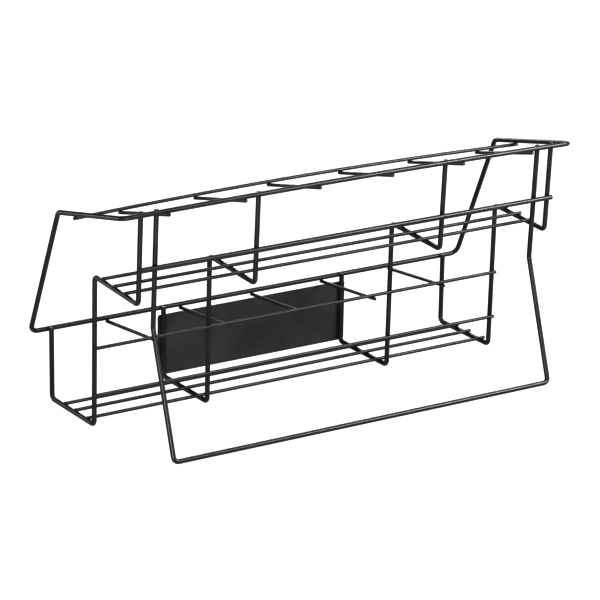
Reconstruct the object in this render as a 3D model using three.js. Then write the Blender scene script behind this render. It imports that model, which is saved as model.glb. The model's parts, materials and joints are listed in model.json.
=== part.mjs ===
// Two-tier welded wire rack that stands on a counter.
//
// Four step-shaped frames carry a low shelf and a high shelf of straight rods. A closed loop of wire makes
// the top rim, two slanted side arms and the rail of the low tier. A bent leg props the high tier.
// Cross wires divide both tiers into cells, and a thin sheet plate is welded across the low tier.
//
// Millimetres, +Z up, +X along the rack, +Y towards the low tier. The origin is on the counter, in the
// middle of the rack's footprint. The profile below is worked out in its own [y, z] coordinates, whose
// zero is the wire axis at the foot bend, where the low shelf meets the middle post.
import * as THREE from 'three';

// Wire and sheet
const WIRE = 5;                    // diameter of the frame wire
const ROD = 3.5;                   // diameter of the light wire
const SHEET = 0.8;                 // thickness of the plate
const BEND = 5.5;                  // bend radius at the wire's axis
const LOOP_BEND = 9;
const SIDES = 12;                  // facets around a wire; corners point along the axes
const ARC_STEP = 18;               // degrees of bend for each facet
const KINK = 2;                    // degrees; a corner that turns less than this needs no arc
const ARCH_PIECES = 8;             // straights in a shallow arch
const CORNER_FACETS = 5;           // facets in each corner of the plate

// Step profile, all four frames alike: lengths along the wire's axis, angles in degrees
const FAR_POST = 78;
const LOW_SHELF = 96;
const MID_POST = 165.4;
const HIGH_SHELF = 93.2;
const NEAR_POST = 98.7;            // from the high shelf to the top rail
const FAR_LEAN = 1.8;              // every post leans back towards -Y
const MID_LEAN = 2.9;
const NEAR_LEAN = 4.8;
const SHELF_FALL = 3;              // the high shelf falls towards -Y

// Places along the rack
const FRAME_SPAN = 500;            // between the axes of the end frames
const INNER_SPAN = 228;            // between the axes of the inner frames
const LOOP_WIDTH = 545;            // between the axes of the loop's sides
const LEG_WIDTH = 464.5;           // between the axes of the leg's uprights
const HIGH_CELL = 88.5;            // pitch of the top dividers
const HIGH_DIVIDERS = 6;
const LOW_CELL = 90.2;             // pitch of the low dividers
const LOW_DIVIDERS = 5;

// Rim, leg and rods
const RIM_RUN = 141;               // from the top rail back to the fold of the loop
const RIM_DROP = 28.7;
const TOP_ROD_RUN = 102.6;         // from the top rail back to the top rod
const TOP_RAIL_ARCH = 2.3;         // the middle stands this much above the ends
const TOP_ROD_ARCH = 4.9;
const TOP_ROD_TIP = 2.4;           // its ends run this far past the axes of the loop's sides
const LEG_BEND_HEIGHT = 132;
const LEG_FOOT = 139.3;            // from the foot bend out to the leg's foot rail
const LEG_TOP = 1;                 // the leg's cut ends, this far along the near posts above the rail
const NEAR_TOP = 1.5;              // the near posts' cut ends, likewise
const LIP_HEIGHT = 199.2;
const MID_FENCE_HEIGHT = 87.2;
const LOW_FENCE_HEIGHT = 34.5;
const HIGH_RODS = [20.6, 45.2, 68.4];   // from the middle post out along the high shelf
const LOW_RODS = [11.4, 39.5, 63.2];    // from the foot bend out along the low shelf
const TOP_TIPS = [1, 2.6];         // how far a divider's ends run past the axes above, [near, far]
const LOW_TIPS = [3.7, 1.5];
const PLATE_SIZE = [239, 69.4];
const PLATE_FOOT = 0.9;            // lower edge of the plate above the low shelf's axis
const PLATE_CORNER = 3;

// ---- plane geometry in [y, z] ----
const rad = (degrees) => degrees * Math.PI / 180;
const add = (a, b, k = 1) => [a[0] + b[0] * k, a[1] + b[1] * k];
const distance = (a, b) => Math.hypot(b[0] - a[0], b[1] - a[1]);
const leaning = (degrees) => [-Math.sin(rad(degrees)), Math.cos(rad(degrees))];
const squareTo = (up) => [-up[1], up[0]];          // sideways from a post, towards -Y
const WIRE_TO_WIRE = WIRE;
const WIRE_TO_ROD = (WIRE + ROD) / 2;

// The line that touches a wire at a and a wire at b from below, where the gaps are the axis distances.
function lineUnder(a, gapA, b, gapB) {
  const along = Math.atan2(b[1] - a[1], b[0] - a[0]);
  const turn = along - Math.asin((gapB - gapA) / distance(a, b));
  const down = [Math.sin(turn), -Math.cos(turn)];
  return [add(a, down, gapA), add(b, down, gapB)];
}

// ---- the step profile and the wires that touch it ----
const farUp = leaning(FAR_LEAN);
const midUp = leaning(MID_LEAN);
const nearUp = leaning(NEAR_LEAN);
const shelfOut = [-Math.cos(rad(SHELF_FALL)), -Math.sin(rad(SHELF_FALL))];
const shelfUp = [shelfOut[1], -shelfOut[0]];
const footFar = [LOW_SHELF, 0];
const footNear = [0, 0];
const farTop = add(footFar, farUp, FAR_POST + WIRE / 2);
const stepBack = add(footNear, midUp, MID_POST);
const stepFront = add(stepBack, shelfOut, HIGH_SHELF);
const nearRail = add(stepFront, nearUp, NEAR_POST);
const nearTop = add(nearRail, nearUp, NEAR_TOP);
const onPost = (foot, up, height) => add(foot, up, (height - foot[1]) / up[1]);

const lowRail = add(add(footFar, farUp, FAR_POST), squareTo(farUp), -WIRE_TO_WIRE);
const lip = add(onPost(stepFront, nearUp, LIP_HEIGHT), squareTo(nearUp), WIRE_TO_WIRE);
const midFence = add(onPost(footNear, midUp, MID_FENCE_HEIGHT), squareTo(midUp), WIRE_TO_ROD);
const lowFence = add(onPost(footNear, midUp, LOW_FENCE_HEIGHT), squareTo(midUp), WIRE_TO_ROD);

// The top rail is arched along the near posts, so that it touches all of them.
const railSag = (x) => TOP_RAIL_ARCH * (x / (LOOP_WIDTH / 2)) ** 2;
const railMiddle = add(add(nearRail, squareTo(nearUp), WIRE_TO_WIRE), nearUp, TOP_RAIL_ARCH / 2);
const topRailAt = (x) => add(railMiddle, nearUp, -railSag(x));
const rimCorner = topRailAt(LOOP_WIDTH / 2);
const rimFold = add(rimCorner, [RIM_RUN, -RIM_DROP]);

// The top rod hangs under the loop's sides and arches up between them.
const rimSlope = Math.atan2(RIM_DROP, RIM_RUN);
const rodEnd = add(add(rimCorner, [TOP_ROD_RUN, -TOP_ROD_RUN * Math.tan(rimSlope)]),
  [-Math.sin(rimSlope), -Math.cos(rimSlope)], WIRE_TO_ROD);
const topRodAt = (x) => add(rodEnd, [0, TOP_ROD_ARCH * (1 - (x / (LOOP_WIDTH / 2)) ** 2)]);

// ---- a bent wire as a curve whose equal steps fall on its bends ----
class BentWire extends THREE.Curve {
  constructor(points, tangents, closed) {
    super();
    this.points = points;
    this.tangents = tangents;
    this.closed = closed;
    this.steps = closed ? points.length : points.length - 1;
  }

  index(u) {
    const i = Math.round(u * this.steps);
    return this.closed ? i % this.points.length : i;
  }

  getPoint(u, target = new THREE.Vector3()) {
    return target.copy(this.points[this.index(u)]);
  }

  getPointAt(u, target) {
    return this.getPoint(u, target);
  }

  getTangent(u, target = new THREE.Vector3()) {
    return target.copy(this.tangents[this.index(u)]);
  }

  getTangentAt(u, target) {
    return this.getTangent(u, target);
  }
}

// Rounds every corner of a run of points. A closed run also rounds its first and last corner.
function bentWire(corners, radius, closed) {
  const points = [];
  const tangents = [];
  const count = corners.length;
  corners.forEach((corner, i) => {
    const before = corners[(i + count - 1) % count];
    const after = corners[(i + 1) % count];
    const isEnd = !closed && (i === 0 || i === count - 1);
    const dirIn = corner.clone().sub(before).normalize();
    const dirOut = after.clone().sub(corner).normalize();
    if (isEnd) {
      points.push(corner.clone());
      tangents.push(i === 0 ? dirOut : dirIn);
      return;
    }
    const turn = dirIn.angleTo(dirOut);
    if (turn < rad(KINK)) {
      points.push(corner.clone());
      tangents.push(dirIn.clone().add(dirOut).normalize());
      return;
    }
    const reach = radius * Math.tan(turn / 2);
    const start = corner.clone().addScaledVector(dirIn, -reach);
    const inward = dirOut.clone().addScaledVector(dirIn, -dirIn.dot(dirOut)).normalize();
    const centre = start.clone().addScaledVector(inward, radius);
    const facets = Math.max(2, Math.round(turn / rad(ARC_STEP)));
    for (let k = 0; k <= facets; k++) {
      const a = turn * k / facets;
      points.push(centre.clone().addScaledVector(inward, -radius * Math.cos(a))
        .addScaledVector(dirIn, radius * Math.sin(a)));
      tangents.push(dirIn.clone().multiplyScalar(Math.cos(a)).addScaledVector(inward, Math.sin(a)));
    }
  });
  return new BentWire(points, tangents, closed);
}

const at = (x, yz) => new THREE.Vector3(x, yz[0], yz[1]);

function roundSection(diameter) {
  const shape = new THREE.Shape();
  for (let i = 0; i < SIDES; i++) {
    const a = 2 * Math.PI * i / SIDES;
    const point = [diameter / 2 * Math.cos(a), diameter / 2 * Math.sin(a)];
    if (i === 0) shape.moveTo(...point);
    else shape.lineTo(...point);
  }
  shape.closePath();
  return shape;
}

function wireSolid(path, diameter) {
  if (path.closed) return new THREE.TubeGeometry(path, path.steps, diameter / 2, SIDES, true);
  return new THREE.ExtrudeGeometry(roundSection(diameter),
    { steps: path.steps, extrudePath: path, bevelEnabled: false });
}

// ---- materials ----
const powderCoat = () => new THREE.MeshStandardMaterial({ color: 0x1d1e1f, roughness: 0.5, metalness: 0 });
const blackSheet = () => new THREE.MeshStandardMaterial({ color: 0x17181a, roughness: 0.38, metalness: 0 });

const rack = new THREE.Group();
const FOOTPRINT_MIDDLE = ((lowRail[0] + WIRE / 2) - (LEG_FOOT + WIRE / 2)) / 2;
rack.position.set(0, -FOOTPRINT_MIDDLE, WIRE / 2);

function part(name, geometry, material) {
  const mesh = new THREE.Mesh(geometry, material);
  mesh.name = name;
  rack.add(mesh);
  return mesh;
}

function wire(name, corners, diameter = WIRE) {
  return part(name, wireSolid(bentWire(corners, BEND, false), diameter), powderCoat());
}

// A straight wire along the rack, cut flush with the outer faces of the end frames.
const ROD_REACH = (FRAME_SPAN + WIRE) / 2;
function lengthwise(name, yz, diameter) {
  return wire(name, [at(-ROD_REACH, yz), at(ROD_REACH, yz)], diameter);
}

// A shallow arch along the rack, as a chain of short straights.
function archPoints(reach, placeAt) {
  const points = [];
  for (let i = 0; i <= ARCH_PIECES; i++) {
    const x = reach * (2 * i / ARCH_PIECES - 1);
    points.push(at(x, placeAt(x)));
  }
  return points;
}

// ---- the closed loop: top rail, side arms folded down, rail of the low tier ----
function loop() {
  const half = LOOP_WIDTH / 2;
  const corners = [
    ...archPoints(half, topRailAt),
    at(half, rimFold),
    at(half, lowRail),
    at(-half, lowRail),
    at(-half, rimFold),
  ];
  part('main_loop', wireSolid(bentWire(corners, LOOP_BEND, true), WIRE), powderCoat());
}

// ---- step frames ----
function stepFrames() {
  const places = [-FRAME_SPAN, -INNER_SPAN, INNER_SPAN, FRAME_SPAN].map((span) => span / 2);
  places.forEach((x, i) => {
    const profile = [farTop, footFar, footNear, stepBack, stepFront, nearTop];
    wire(`step_frame_${i + 1}`, profile.map((yz) => at(x, yz)));
  });
}

// ---- the leg: two uprights beside the near posts, splayed below the high shelf to a foot rail ----
function leg() {
  const knee = onPost(stepFront, nearUp, LEG_BEND_HEIGHT);
  const top = add(nearRail, nearUp, LEG_TOP);
  const side = [top, knee, [-LEG_FOOT, 0]];
  const left = side.map((yz) => at(-LEG_WIDTH / 2, yz));
  const right = side.map((yz) => at(LEG_WIDTH / 2, yz)).reverse();
  wire('leg', [...left, ...right]);
}

// ---- straight rods ----
function rods() {
  const above = (foot, out, reach, up) => add(add(foot, out, reach), up, WIRE_TO_ROD);
  HIGH_RODS.forEach((reach, i) => {
    lengthwise(`high_shelf_rod_${i + 1}`, above(stepBack, shelfOut, reach, shelfUp), ROD);
  });
  LOW_RODS.forEach((reach, i) => {
    lengthwise(`low_shelf_rod_${i + 1}`, above(footNear, [1, 0], reach, [0, 1]), ROD);
  });
  lengthwise('mid_fence_rod', midFence, ROD);
  lengthwise('low_fence_rod', lowFence, ROD);
  lengthwise('lip_rail', lip, WIRE);
  wire('top_rod', archPoints(LOOP_WIDTH / 2 + TOP_ROD_TIP, topRodAt), ROD);
}

// ---- dividers ----
function centredPlaces(count, pitch) {
  return Array.from({ length: count }, (_, i) => (i - (count - 1) / 2) * pitch);
}

function divider(name, x, [near, far], tips) {
  const run = add(far, near, -1);
  const length = distance(near, far);
  wire(name, [at(x, add(near, run, -tips[0] / length)), at(x, add(far, run, tips[1] / length))], ROD);
}

function dividers() {
  centredPlaces(HIGH_DIVIDERS, HIGH_CELL).forEach((x, i) => {
    divider(`top_divider_${i + 1}`, x, lineUnder(topRailAt(x), WIRE_TO_ROD, topRodAt(x), ROD), TOP_TIPS);
  });
  centredPlaces(LOW_DIVIDERS, LOW_CELL).forEach((x, i) => {
    divider(`low_divider_${i + 1}`, x, lineUnder(midFence, ROD, lowRail, WIRE_TO_ROD), LOW_TIPS);
  });
}

// ---- the sheet plate on the far side of the inner frames ----
function plate() {
  const [width, height] = PLATE_SIZE;
  const x = width / 2;
  const y = height / 2;
  const r = PLATE_CORNER;
  const outline = new THREE.Shape();
  outline.moveTo(-x + r, -y);
  outline.lineTo(x - r, -y);
  outline.absarc(x - r, -y + r, r, -Math.PI / 2, 0);
  outline.lineTo(x, y - r);
  outline.absarc(x - r, y - r, r, 0, Math.PI / 2);
  outline.lineTo(-x + r, y);
  outline.absarc(-x + r, y - r, r, Math.PI / 2, Math.PI);
  outline.lineTo(-x, -y + r);
  outline.absarc(-x + r, -y + r, r, Math.PI, 1.5 * Math.PI);
  const solid = new THREE.ExtrudeGeometry(outline,
    { depth: SHEET, bevelEnabled: false, curveSegments: CORNER_FACETS });
  solid.translate(0, 0, -SHEET / 2);
  const mesh = part('sign_plate', solid, blackSheet());
  const middle = add(footFar, farUp, PLATE_FOOT + height / 2);
  const place = add(middle, squareTo(farUp), -(WIRE + SHEET) / 2);
  mesh.rotation.x = Math.PI / 2 + rad(FAR_LEAN);
  mesh.position.set(0, place[0], place[1]);
}

loop();
stepFrames();
leg();
rods();
dividers();
plate();

export default rack;
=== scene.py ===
"""Looks of the stepped wire rack: smooth wires, welds and plate over the CAD nodes, in metres."""

import json
import math
import random

import bmesh
import bpy
import numpy as np
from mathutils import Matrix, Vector


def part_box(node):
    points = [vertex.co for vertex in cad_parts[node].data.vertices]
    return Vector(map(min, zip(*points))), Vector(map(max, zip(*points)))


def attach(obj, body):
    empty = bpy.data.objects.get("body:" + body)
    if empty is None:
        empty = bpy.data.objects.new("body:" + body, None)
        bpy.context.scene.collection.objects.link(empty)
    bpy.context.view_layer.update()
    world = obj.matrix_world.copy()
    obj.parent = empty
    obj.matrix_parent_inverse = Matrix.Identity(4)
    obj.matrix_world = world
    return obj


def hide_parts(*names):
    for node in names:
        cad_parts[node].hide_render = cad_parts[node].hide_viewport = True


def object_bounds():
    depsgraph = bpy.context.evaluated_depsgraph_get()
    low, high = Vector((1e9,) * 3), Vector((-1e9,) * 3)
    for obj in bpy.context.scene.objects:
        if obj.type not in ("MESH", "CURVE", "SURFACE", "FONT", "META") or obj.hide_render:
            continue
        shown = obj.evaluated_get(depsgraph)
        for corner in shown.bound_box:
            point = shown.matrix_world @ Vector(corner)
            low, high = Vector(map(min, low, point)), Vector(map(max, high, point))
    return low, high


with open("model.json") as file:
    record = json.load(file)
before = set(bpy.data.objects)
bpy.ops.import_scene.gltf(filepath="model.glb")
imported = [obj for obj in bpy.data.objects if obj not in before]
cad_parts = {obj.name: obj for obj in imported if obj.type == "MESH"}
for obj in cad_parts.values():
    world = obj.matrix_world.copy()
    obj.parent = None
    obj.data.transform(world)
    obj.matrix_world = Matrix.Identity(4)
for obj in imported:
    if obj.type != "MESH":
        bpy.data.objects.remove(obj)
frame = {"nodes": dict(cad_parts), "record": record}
CAD_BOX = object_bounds()
RECORD = frame["record"]
NODES = frame["nodes"]
MM = 0.001
BODY = "root"
random.seed(7)


def unit(v):
    return v / np.linalg.norm(v)


# ---------------------------------------------------------------- the wires' centre lines

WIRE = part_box("lip_rail")[1].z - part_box("lip_rail")[0].z                # diameter of the heavy wire
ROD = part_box("low_fence_rod")[1].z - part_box("low_fence_rod")[0].z       # diameter of the light wire

PAIR_SLACK = 0.006 * MM     # how far the gap of a diametral pair may be from the diameter
MIDDLE_GRID = 0.02 * MM     # middles that round to one place on this grid are one middle
MIN_PAIRS = 4               # fewest diametral pairs that make a ring
MIN_RING_GAP = 0.5 * MM     # nearer than this, two middles belong to one ring
MIN_FACETS = 8              # fewest facets that join two neighbouring rings
STRAIGHT_RATIO = 2.5        # a stretch this many times longer than the one beside it is a straight run
PATH_STEP = 5 * MM          # longest piece of a smooth path
MIN_PIECES = 3              # fewest pieces between two rings


def is_rod(node):
    """Whether a node is light wire."""
    return "rod" in node or "divider" in node


def ring_centres(node, diameter):
    """A swept wire is a row of rings. The middles of their diametral pairs lie on its centre line."""
    co = np.array([v.co for v in NODES[node].data.vertices], float)
    pts = np.unique(np.round(co / MM, 3), axis=0) * MM
    gaps = np.linalg.norm(pts[:, None] - pts[None], axis=2)
    i, j = np.nonzero(np.abs(gaps - diameter) < PAIR_SLACK)
    places = np.round((pts[i] + pts[j]) / 2 / MIDDLE_GRID).astype(int)
    mids, count = np.unique(places, axis=0, return_counts=True)
    centres = []
    for k in np.argsort(-count):
        c = mids[k] * MIDDLE_GRID
        if count[k] >= MIN_PAIRS and all(np.linalg.norm(c - d) > MIN_RING_GAP for d in centres):
            centres.append(c)
    return np.array(centres)


def centre_line(node, diameter):
    """The ring centres in order along the wire. Two rings are neighbours where facets join them."""
    centres = ring_centres(node, diameter)
    mesh = NODES[node].data
    ring = []
    for v in mesh.vertices:
        off = np.abs(np.linalg.norm(centres - np.array(v.co), axis=1) - diameter / 2)
        ring.append(int(np.argmin(off)))
    joined = {}
    for polygon in mesh.polygons:
        here = sorted({ring[i] for i in polygon.vertices})
        for a, b in zip(here, here[1:]):
            joined[a, b] = joined.get((a, b), 0) + 1
    beside = {i: set() for i in range(len(centres))}
    for (a, b), facets in joined.items():
        if facets >= MIN_FACETS:
            beside[a].add(b)
            beside[b].add(a)
    ends = [i for i in beside if len(beside[i]) == 1]
    order = [ends[0] if ends else 0]
    while len(order) < len(centres):
        order.append(next(i for i in sorted(beside[order[-1]]) if i not in order))
    return centres[order]


def path_tangents(stations, closed):
    """The direction at each ring: along a straight run beside it, or else between its two stretches."""
    n = len(stations)
    tangents = []
    for i in range(n):
        before = stations[i] - stations[i - 1] if closed or i > 0 else np.zeros(3)
        after = stations[(i + 1) % n] - stations[i] if closed or i < n - 1 else np.zeros(3)
        if np.linalg.norm(after) > STRAIGHT_RATIO * np.linalg.norm(before):
            tangents.append(unit(after))
        elif np.linalg.norm(before) > STRAIGHT_RATIO * np.linalg.norm(after):
            tangents.append(unit(before))
        else:
            tangents.append(unit(unit(before) + unit(after)))
    return tangents


def smooth_path(stations, closed):
    """Straight runs stay straight, and the facets of each bend become an arc."""
    n = len(stations)
    tangents = path_tangents(stations, closed)
    points = []
    for i in range(n if closed else n - 1):
        p, q = stations[i], stations[(i + 1) % n]
        size = np.linalg.norm(q - p)
        m, k = tangents[i] * size, tangents[(i + 1) % n] * size
        pieces = max(MIN_PIECES, math.ceil(size / PATH_STEP))
        for j in range(pieces):
            t = j / pieces
            points.append((2 * t**3 - 3 * t**2 + 1) * p + (t**3 - 2 * t**2 + t) * m
                          + (3 * t**2 - 2 * t**3) * q + (t**3 - t**2) * k)
    if not closed:
        points.append(stations[-1])
    return np.array(points)


WIRES = {}
for name in NODES:
    if name != "sign_plate":
        gauge = ROD if is_rod(name) else WIRE
        WIRES[name] = {
            "stations": centre_line(name, gauge),
            "radius": gauge / 2,
            "closed": name == "main_loop",
        }

# ---------------------------------------------------------------- meshes

SWEEP_SIDES = 24
SIDE_HINT = [0.3, 0.2, 0.9]     # no wire starts along it
CUT_EDGE = 0.45 * MM            # rounding of a sheared and coated end
CUT_EDGE_STEPS = 3


def add_object(name, bm, material):
    """One piece of the rack, on its only body."""
    mesh = bpy.data.meshes.new(name)
    bmesh.ops.recalc_face_normals(bm, faces=bm.faces[:])
    bm.to_mesh(mesh)
    bm.free()
    obj = bpy.data.objects.new(name, mesh)
    bpy.context.scene.collection.objects.link(obj)
    mesh.materials.append(material)
    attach(obj, BODY)
    return obj


def transported(points, closed):
    """The direction at each point, and a side vector that follows the wire without twisting around it."""
    n = len(points)
    dirs = []
    for i in range(n):
        a = points[i - 1] if closed or i > 0 else points[i]
        b = points[(i + 1) % n] if closed or i < n - 1 else points[i]
        dirs.append(unit(b - a))
    side = unit(np.cross(dirs[0], SIDE_HINT))
    sides = []
    for d in dirs:
        side = unit(side - d * np.dot(side, d))
        sides.append(side)
    if closed:
        back = unit(side - dirs[0] * np.dot(side, dirs[0]))
        slip = math.atan2(np.dot(np.cross(back, sides[0]), dirs[0]), np.dot(back, sides[0]))
        for i, d in enumerate(dirs):
            a = slip * i / n
            sides[i] = sides[i] * math.cos(a) + np.cross(d, sides[i]) * math.sin(a)
    return dirs, sides


def cut_end(point, direction, side, radius, sign):
    """The rings that round off a cut end, from the full width to the end face."""
    rings = []
    for k in range(CUT_EDGE_STEPS + 1):
        a = math.pi / 2 * k / CUT_EDGE_STEPS
        middle = point + sign * direction * CUT_EDGE * (math.sin(a) - 1)
        rings.append((middle, direction, side, radius - CUT_EDGE * (1 - math.cos(a))))
    return rings


def sweep(bm, points, radius, closed):
    """A round wire along the points, with rounded cut ends unless it is closed."""
    dirs, sides = transported(points, closed)
    rings = [(p, d, s, radius) for p, d, s in zip(points, dirs, sides)]
    if not closed:
        start = cut_end(points[0], dirs[0], sides[0], radius, -1)
        finish = cut_end(points[-1], dirs[-1], sides[-1], radius, 1)
        rings = start[::-1] + rings[1:-1] + finish
    loops = []
    for p, d, s, r in rings:
        t = np.cross(d, s)
        loop = []
        for k in range(SWEEP_SIDES):
            a = 2 * math.pi * k / SWEEP_SIDES
            loop.append(bm.verts.new(Vector(p + r * (math.cos(a) * s + math.sin(a) * t))))
        loops.append(loop)
    pairs = list(zip(loops, loops[1:] + loops[:1])) if closed else list(zip(loops, loops[1:]))
    for near, far in pairs:
        for k in range(SWEEP_SIDES):
            j = (k + 1) % SWEEP_SIDES
            bm.faces.new((near[k], near[j], far[j], far[k])).smooth = True
    if not closed:
        for loop in (loops[0], loops[-1]):
            bm.faces.new(loop).smooth = False


# ---------------------------------------------------------------- welds

TOUCH_SLACK = 0.4 * MM      # how far the gap of two touching axes may be from the sum of the radii
WELD_SPACING = 8 * MM       # nearer than this, two touches are one weld
PARALLEL = 1e-12            # below this determinant, two segments are parallel
STEEPEST = 0.94             # share of a wire's radius beyond which its surface falls away no further
WELD_TURNS = 28
WELD_ROWS = 5
PHASE_RANGE = 6.28
WOBBLES = ((2, 0.10), (3, 0.05), (5, 0.03))     # waves around a collar, and their share of its reach
HOLLOW_SHARE = 0.34         # depth of a collar's hollow, as a share of its height
BITE = 0.07 * MM            # how deep a collar's two edges sink into the metal


def closest(p, q, r, s):
    """The nearest points of segments pq and rs."""
    u, v, w = q - p, s - r, p - r
    a, b, c, d, e = u @ u, u @ v, v @ v, u @ w, v @ w
    det = a * c - b * b
    t = np.clip((b * e - c * d) / det, 0, 1) if det > PARALLEL else 0.5
    k = np.clip((b * t + e) / c, 0, 1)
    t = np.clip((b * k - d) / a, 0, 1)
    return p + u * t, r + v * k


def segments(wire):
    """The stretches between neighbouring rings."""
    st = wire["stations"]
    count = len(st) if wire["closed"] else len(st) - 1
    return [(st[i], st[(i + 1) % len(st)]) for i in range(count)]


def find_welds():
    """Where two wires touch: the nearest points of the two axes, their directions and their radii."""
    found = []
    names = sorted(WIRES)
    for i, first in enumerate(names):
        for second in names[i + 1:]:
            a, b = WIRES[first], WIRES[second]
            touch = a["radius"] + b["radius"]
            here = []
            for p, q in segments(a):
                for r, s in segments(b):
                    x, y = closest(p, q, r, s)
                    off = abs(np.linalg.norm(y - x) - touch)
                    if off < TOUCH_SLACK:
                        here.append((off, (x, y, unit(q - p), unit(s - r), a["radius"], b["radius"])))
            here.sort(key=lambda h: h[0])
            kept = []
            for _, spot in here:
                if all(np.linalg.norm(spot[0] - k[0]) > WELD_SPACING for k in kept):
                    kept.append(spot)
            found += kept
    return found


def sink(radius, off_axis):
    """How far a round wire's surface falls away at that distance from its crest. A flat plate doesn't."""
    if radius is None:
        return 0.0
    off_axis = min(off_axis, STEEPEST * radius)
    return radius - math.sqrt(radius**2 - off_axis**2)


def weld(bm, centre, normal, dir_a, radius_a, dir_b, radius_b, reach):
    """A small concave collar of metal around the spot where two wires, or a wire and the plate, touch."""
    e1 = unit(dir_a - normal * np.dot(dir_a, normal))
    e2 = np.cross(normal, e1)
    phases = [random.uniform(0, PHASE_RANGE) for _ in WOBBLES]
    rows = [[] for _ in range(WELD_ROWS)]
    for k in range(WELD_TURNS):
        a = 2 * math.pi * k / WELD_TURNS
        wobble = 1
        for (waves, depth), phase in zip(WOBBLES, phases):
            wobble += depth * math.sin(waves * a + phase)
        out = math.cos(a) * e1 + math.sin(a) * e2
        rho = reach * wobble
        low = -sink(radius_a, rho * np.linalg.norm(np.cross(out, dir_a)))
        high = sink(radius_b, rho * np.linalg.norm(np.cross(out, dir_b)))
        hollow = HOLLOW_SHARE * (high - low)
        for j in range(WELD_ROWS):
            t = j / (WELD_ROWS - 1)
            bite = BITE * ((j == WELD_ROWS - 1) - (j == 0))
            rise = low + (high - low) * t + bite
            p = centre + out * (rho - hollow * math.sin(math.pi * t)) + normal * rise
            rows[j].append(bm.verts.new(Vector(p)))
    for low_row, high_row in zip(rows, rows[1:]):
        for k in range(WELD_TURNS):
            j = (k + 1) % WELD_TURNS
            bm.faces.new((low_row[k], low_row[j], high_row[j], high_row[k])).smooth = True


# ---------------------------------------------------------------- materials

BLACK, WHITE = (0, 0, 0), (1, 1, 1)
NOISE_LOW, NOISE_HIGH = 0.3, 0.7        # the usual range of a noise
DUST = (0.085, 0.085, 0.086, 1)
DUST_FROM, DUST_FULL = 0.66, 0.74       # of the speck noise: where dust begins, and where it is full
DUST_SHARE = 0.35
PEEL_DEPTH = 0.06 * MM
WAVE_DEPTH = 0.6 * MM
GRAIN_DEPTH = 0.04 * MM


def near_black(level):
    """A grey with a trace of blue."""
    return level, level, level + 0.0005


def shader(name):
    mat = bpy.data.materials.new(name)
    mat.use_nodes = True
    tree = mat.node_tree
    return mat, tree.nodes, tree.links, tree.nodes["Principled BSDF"]


def noise(nodes, links, coords, scale, detail, roughness=0.5):
    n = nodes.new("ShaderNodeTexNoise")
    n.inputs["Scale"].default_value = scale
    n.inputs["Detail"].default_value = detail
    n.inputs["Roughness"].default_value = roughness
    links.new(coords.outputs["Object"], n.inputs["Vector"])
    return n


def ramp(nodes, links, source, stops):
    r = nodes.new("ShaderNodeValToRGB")
    while len(r.color_ramp.elements) < len(stops):
        r.color_ramp.elements.new(0.5)
    for element, (place, colour) in zip(r.color_ramp.elements, stops):
        element.position = place
        element.color = (*colour, 1)
    links.new(source, r.inputs["Fac"])
    return r


def spread(nodes, links, source, low, high, to_low, to_high):
    m = nodes.new("ShaderNodeMapRange")
    for key, value in (("From Min", low), ("From Max", high), ("To Min", to_low), ("To Max", to_high)):
        m.inputs[key].default_value = value
    links.new(source, m.inputs["Value"])
    return m


def relief(nodes, links, height, strength, depth):
    b = nodes.new("ShaderNodeBump")
    b.inputs["Strength"].default_value = strength
    b.inputs["Distance"].default_value = depth
    links.new(height.outputs["Fac"], b.inputs["Height"])
    return b


def powder_coat(name, tints, roughness, peel=0.22):
    """Satin powder coat: orange peel in the bump, dust in the colour, clouds in colour and roughness."""
    mat, nodes, links, bsdf = shader(name)
    coords = nodes.new("ShaderNodeTexCoord")
    cloud = noise(nodes, links, coords, scale=38, detail=4)
    speck = noise(nodes, links, coords, scale=900, detail=2, roughness=0.6)
    orange = noise(nodes, links, coords, scale=1500, detail=2)
    dark, light = tints
    tint = ramp(nodes, links, cloud.outputs["Fac"],
                [(NOISE_LOW, near_black(dark)), (NOISE_HIGH, near_black(light))])
    rub = ramp(nodes, links, speck.outputs["Fac"], [(DUST_FROM, BLACK), (DUST_FULL, WHITE)])
    mix = nodes.new("ShaderNodeMix")
    mix.data_type = "RGBA"
    mix.inputs["B"].default_value = DUST
    links.new(tint.outputs["Color"], mix.inputs["A"])
    share = nodes.new("ShaderNodeMath")
    share.operation = "MULTIPLY"
    share.inputs[1].default_value = DUST_SHARE
    links.new(rub.outputs["Color"], share.inputs[0])
    links.new(share.outputs["Value"], mix.inputs["Factor"])
    links.new(mix.outputs["Result"], bsdf.inputs["Base Color"])
    rough = spread(nodes, links, cloud.outputs["Fac"], NOISE_LOW, NOISE_HIGH, *roughness)
    links.new(rough.outputs["Result"], bsdf.inputs["Roughness"])
    dimples = relief(nodes, links, orange, peel, PEEL_DEPTH)
    links.new(dimples.outputs["Normal"], bsdf.inputs["Normal"])
    return mat


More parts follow.
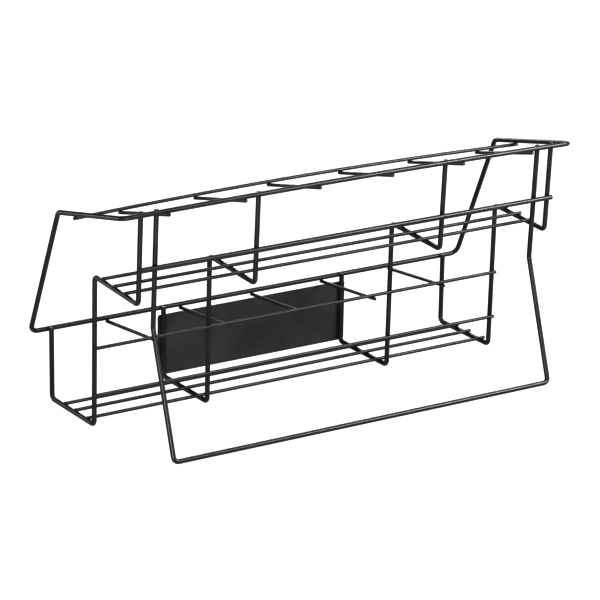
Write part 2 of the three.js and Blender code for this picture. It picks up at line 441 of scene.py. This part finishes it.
def plate_coat():
    """Smooth semi-gloss black over rolled sheet: long low waves, faint handling smears. Its base is
    lighter than the sheet's own black, as a painted reflection of the pale floor.
    """
    mat, nodes, links, bsdf = shader("plate_coat")
    coords = nodes.new("ShaderNodeTexCoord")
    smear = noise(nodes, links, coords, scale=22, detail=5, roughness=0.55)
    wave = noise(nodes, links, coords, scale=14, detail=1)
    grain = noise(nodes, links, coords, scale=1100, detail=2)
    # The base greys are lighter than the plate's own black: a painted reflection of the pale floor, which
    # the plate's mirror rays don't see. The smear noise varies them at random.
    tint = ramp(nodes, links, smear.outputs["Fac"],
                [(0.35, near_black(0.059)), (NOISE_HIGH, near_black(0.078))])
    links.new(tint.outputs["Color"], bsdf.inputs["Base Color"])
    rough = spread(nodes, links, smear.outputs["Fac"], NOISE_LOW, NOISE_HIGH, 0.30, 0.37)
    links.new(rough.outputs["Result"], bsdf.inputs["Roughness"])
    waves = relief(nodes, links, wave, 0.5, WAVE_DEPTH)
    grains = relief(nodes, links, grain, 0.15, GRAIN_DEPTH)
    links.new(waves.outputs["Normal"], grains.inputs["Normal"])
    links.new(grains.outputs["Normal"], bsdf.inputs["Normal"])
    return mat


WIRE_COAT = powder_coat("wire_coat", tints=(0.029, 0.044), roughness=(0.34, 0.44))
ROD_COAT = powder_coat("rod_coat", tints=(0.029, 0.046), roughness=(0.36, 0.46))
WELD_COAT = powder_coat("weld_coat", tints=(0.024, 0.040), roughness=(0.40, 0.52), peel=0.4)
PLATE_COAT = plate_coat()

# ---------------------------------------------------------------- wires

for name, w in WIRES.items():
    bm = bmesh.new()
    sweep(bm, smooth_path(w["stations"], w["closed"]), w["radius"], w["closed"])
    wire = add_object(f"{name}_wire", bm, ROD_COAT if is_rod(name) else WIRE_COAT)
    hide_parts(name)

# ---------------------------------------------------------------- the plate's own frame

MOUNT = next(m for m in RECORD["mounts"] if m["name"] == "sign_face")
plate_out = unit(np.array(MOUNT["axis"], float))
plate_up = np.cross([1.0, 0, 0], plate_out)
lo, hi = (np.array(c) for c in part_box("sign_plate"))
span = hi - lo
# The plate leans, so its thickness and its height both add to the depth and to the height of its box
lean = np.array([[plate_out[1], plate_out[2]], [plate_out[2], plate_out[1]]])
SHEET, PLATE_HEIGHT = np.linalg.solve(lean, span[1:])
PLATE_WIDTH = span[0]
plate_mid = np.array(MOUNT["pos_m"], float) - plate_out * SHEET / 2
PLATE_CORNER = 3 * MM
CORNER_STEPS = 8
EDGE_ROUNDING = 0.22 * MM
POST_WELDS = (0.06, 0.36, 0.9)        # places of the welds, as shares of the plate's height


def plate_point(across, up, out):
    """The point that far from the plate's middle, along its width, its height and its thickness."""
    return plate_mid + np.array([across, 0, 0]) + plate_up * up + plate_out * out


def plate_weld_spots():
    """Where the two inner frames' far posts touch the plate: points on the face towards the posts."""
    spots = []
    for node in ("step_frame_2", "step_frame_3"):
        x = (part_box(node)[0].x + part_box(node)[1].x) / 2
        for share in POST_WELDS:
            spots.append(plate_point(x, PLATE_HEIGHT * (share - 0.5), -SHEET / 2))
    return spots


# ---------------------------------------------------------------- weld collars, in one piece for each tier

# Each group takes the welds above its height that no group before it takes
WELD_GROUPS = {
    "rim_welds": 0.215,
    "high_shelf_welds": 0.13,
    "low_rail_welds": 0.06,
    "low_shelf_welds": -1.0,
}
COLLAR_SHARE = 0.72             # a collar reaches this share of the thinner wire's radius
COLLAR_EXTRA = 0.45 * MM        # and this much further
PLATE_COLLAR = 1.9 * MM

groups = {name: bmesh.new() for name in WELD_GROUPS}
for x, y, dir_a, dir_b, ra, rb in find_welds():
    n = unit(y - x)
    centre = x + n * (ra + (np.linalg.norm(y - x) - ra - rb) / 2)
    group = next(g for g, floor in WELD_GROUPS.items() if centre[2] > floor)
    weld(groups[group], centre, n, dir_a, ra, dir_b, rb, COLLAR_SHARE * min(ra, rb) + COLLAR_EXTRA)
for name, bm in groups.items():
    add_object(name, bm, WELD_COAT)

plate_welds = bmesh.new()
for spot in plate_weld_spots():
    weld(plate_welds, spot, plate_out, plate_up, WIRE / 2, plate_up, None, PLATE_COLLAR)
add_object("plate_welds", plate_welds, WELD_COAT)

# ---------------------------------------------------------------- the plate


def plate_mesh():
    """The plate with rounded corners. Its edges are rounded by the bevel."""
    bm = bmesh.new()
    outline = []
    for sx, sz, start in ((1, 1, 0), (-1, 1, 90), (-1, -1, 180), (1, -1, 270)):
        cx = sx * (PLATE_WIDTH / 2 - PLATE_CORNER)
        cz = sz * (PLATE_HEIGHT / 2 - PLATE_CORNER)
        for k in range(CORNER_STEPS + 1):
            a = math.radians(start + 90 * k / CORNER_STEPS)
            outline.append((cx + PLATE_CORNER * math.cos(a), cz + PLATE_CORNER * math.sin(a)))
    inner = [bm.verts.new(Vector(plate_point(x, z, -SHEET / 2))) for x, z in outline]
    outer = [bm.verts.new(Vector(plate_point(x, z, SHEET / 2))) for x, z in outline]
    bm.faces.new(inner)
    bm.faces.new(outer[::-1])
    count = len(outline)
    for k in range(count):
        j = (k + 1) % count
        bm.faces.new((inner[k], inner[j], outer[j], outer[k]))
    return bm


plate = add_object("sign_plate_sheet", plate_mesh(), PLATE_COAT)
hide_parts("sign_plate")
bevel = plate.modifiers.new("rolled_edge", "BEVEL")
bevel.width = EDGE_ROUNDING
bevel.segments = 3
bevel.limit_method = "ANGLE"
for polygon in plate.data.polygons:
    polygon.use_smooth = True
plate.modifiers.new("flat_faces", "WEIGHTED_NORMAL").keep_sharp = True

# Distance from a mark's middle, and height over the plate's outer face, in mm
MARK_PROFILE = ((0, 0.02), (1.7, 0.02), (2.2, 0.07), (2.6, 0.08), (3.1, 0.03), (3.4, -0.04))
MARK_TURNS = 32


def electrode_marks():
    """The faint ring that the welding electrode leaves on the outer face over each weld."""
    bm = bmesh.new()
    across = np.cross(plate_out, plate_up)
    for spot in plate_weld_spots():
        top = spot + plate_out * SHEET
        centre = bm.verts.new(Vector(top + plate_out * MARK_PROFILE[0][1] * MM))
        rings = []
        for reach, height in MARK_PROFILE[1:]:
            ring = []
            for k in range(MARK_TURNS):
                a = 2 * math.pi * k / MARK_TURNS
                out = math.cos(a) * across + math.sin(a) * plate_up
                ring.append(bm.verts.new(Vector(top + out * reach * MM + plate_out * height * MM)))
            rings.append(ring)
        for k in range(MARK_TURNS):
            j = (k + 1) % MARK_TURNS
            bm.faces.new((centre, rings[0][k], rings[0][j])).smooth = True
            for inner, outer in zip(rings, rings[1:]):
                bm.faces.new((inner[k], outer[k], outer[j], inner[j])).smooth = True
    return bm


add_object("electrode_marks", electrode_marks(), PLATE_COAT)

# ---------------------------------------------------------------- camera, floor and light

CAMERA_AT = Vector((-1.664074, -2.703988, 1.141756))
AZIMUTH, ELEVATION = math.radians(31.45), math.radians(18.12)
camera = bpy.data.objects.new("camera", bpy.data.cameras.new("camera"))
bpy.context.scene.collection.objects.link(camera)
camera.location = CAMERA_AT
camera.rotation_euler = (math.pi / 2 - ELEVATION, 0, -AZIMUTH)
camera.data.sensor_width = 36
camera.data.lens = 187.37
camera.data.clip_end = 100
bpy.context.scene.camera = camera

FLOOR_Z = CAD_BOX[0][2]
STAGE_REACH = 14.0          # half the floor's width, and the dome's radius
FLOOR_BOUNCE = 0.03
FLOOR_GLOW = 1.0            # the floor's white is its own, as on a light table
BACKDROP_GLOW = 1.02
BACKDROP_STEPS = 24


def stage_object(name, bm, bounce, glow):
    """A surface that glows white, seen by the camera and not mirrored in the wires."""
    mesh = bpy.data.meshes.new(name)
    bm.to_mesh(mesh)
    bm.free()
    obj = bpy.data.objects.new(name, mesh)
    bpy.context.scene.collection.objects.link(obj)
    mat, _, _, bsdf = shader(f"{name}_paint")
    bsdf.inputs["Base Color"].default_value = (bounce, bounce, bounce, 1)
    bsdf.inputs["Roughness"].default_value = 0.9
    bsdf.inputs["Emission Color"].default_value = (*WHITE, 1)
    bsdf.inputs["Emission Strength"].default_value = glow
    mesh.materials.append(mat)
    obj.visible_glossy = False
    return obj


def floor_plane():
    bm = bmesh.new()
    r = STAGE_REACH
    bm.faces.new([bm.verts.new((x, y, FLOOR_Z)) for x, y in ((-r, -r), (r, -r), (r, r), (-r, r))])
    stage_object("floor", bm, FLOOR_BOUNCE, FLOOR_GLOW)


def backdrop_dome():
    """A white dome all round, so that every view has the same plain background."""
    bm = bmesh.new()
    bmesh.ops.create_uvsphere(
        bm, u_segments=2 * BACKDROP_STEPS, v_segments=BACKDROP_STEPS, radius=STAGE_REACH)
    obj = stage_object("backdrop", bm, 0.0, BACKDROP_GLOW)
    obj.visible_diffuse = False
    obj.visible_shadow = False


floor_plane()
backdrop_dome()


def soft_light(name, place, aim, size, watts):
    data = bpy.data.lights.new(name, "AREA")
    data.shape = "RECTANGLE"
    data.size, data.size_y = size
    data.energy = watts
    obj = bpy.data.objects.new(name, data)
    obj.location = place
    obj.rotation_euler = (Vector(aim) - Vector(place)).to_track_quat("-Z", "Y").to_euler()
    obj.visible_camera = False
    bpy.context.scene.collection.objects.link(obj)


LIGHTS = (      # name, place, aim, size, watts
    ("key_right", (0.78, -0.85, 0.75), (0.2, 0, 0.15), (0.6, 0.5), 35),
    ("front_left", (-0.85, -0.9, 0.12), (-0.25, 0, 0.12), (0.7, 0.3), 19),
    ("back_left", (-0.95, 0.75, 0.3), (-0.25, 0, 0.15), (0.8, 0.4), 8),
    ("back_right", (1.1, 0.9, 0.55), (0.1, 0, 0.12), (0.8, 0.5), 6),
    ("back_top", (0.25, 0.72, 0.5), (0.05, 0, 0.08), (0.35, 0.2), 3),
)
for light in LIGHTS:
    soft_light(*light)

# Brightness of the surroundings from straight down (0) through the horizon (0.5) to straight up (1)
SURROUNDINGS = ((0.12, 1.1), (0.33, 0.38), (0.47, 0.14), (0.62, 0.14), (0.8, 0.5), (0.9, 0.8))
SURROUNDINGS_STRENGTH = 1.2


def studio_world():
    """Dim all round, lighter overhead and, like a pale table, lighter below."""
    world = bpy.data.worlds.new("studio")
    world.use_nodes = True
    nodes, links = world.node_tree.nodes, world.node_tree.links
    background = nodes["Background"]
    coords = nodes.new("ShaderNodeTexCoord")
    parts = nodes.new("ShaderNodeSeparateXYZ")
    links.new(coords.outputs["Generated"], parts.inputs["Vector"])
    height = spread(nodes, links, parts.outputs["Z"], -1, 1, 0, 1)
    stops = [(place, (grey, grey, grey)) for place, grey in SURROUNDINGS]
    glow = ramp(nodes, links, height.outputs["Result"], stops)
    links.new(glow.outputs["Color"], background.inputs["Color"])
    background.inputs["Strength"].default_value = SURROUNDINGS_STRENGTH
    bpy.context.scene.world = world


studio_world()

DISPLAY_GAMMA = 0.5         # keeps the thin dark wires full against white
bpy.context.scene.view_settings.view_transform = "Standard"
bpy.context.scene.view_settings.gamma = DISPLAY_GAMMA

# ---------------------------------------------------------------- last update


bpy.context.view_layer.update()
